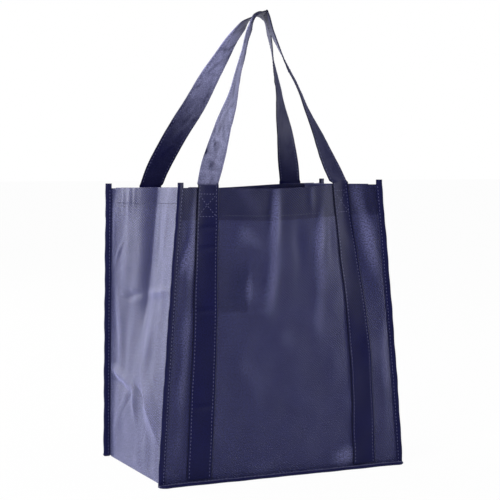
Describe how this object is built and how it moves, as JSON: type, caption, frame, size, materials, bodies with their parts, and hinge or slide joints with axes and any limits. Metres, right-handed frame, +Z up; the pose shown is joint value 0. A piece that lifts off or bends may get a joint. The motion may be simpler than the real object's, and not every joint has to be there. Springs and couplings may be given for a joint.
{
  "type": "non-woven shopping bag",
  "caption": "Open-top fabric grocery tote with a box-shaped base, bound seams, a stiff base board and long strap handles sewn up its front and back.",
  "frame": {"origin": "on the floor, under the middle of the bag's overall box", "axes": "+X to the right as seen from the front, +Y from the front panel to the back panel, +Z up"},
  "size_m": [0.3222, 0.212, 0.5593],
  "materials": {
    "bag_cloth": "non-woven, fine embossed grain, soft sheen",
    "tape_cloth": "folded non-woven tape, soft sheen",
    "board": "stiff sheet, matt"
  },
  "bodies": {
    "root": {"front_panel": "bag_cloth", "back_panel": "bag_cloth", "gusset_strip": "bag_cloth", "front_binding": "tape_cloth", "back_binding": "tape_cloth", "front_handle": "tape_cloth", "back_handle": "tape_cloth", "base_board": "board"}
  },
  "joints": []
}
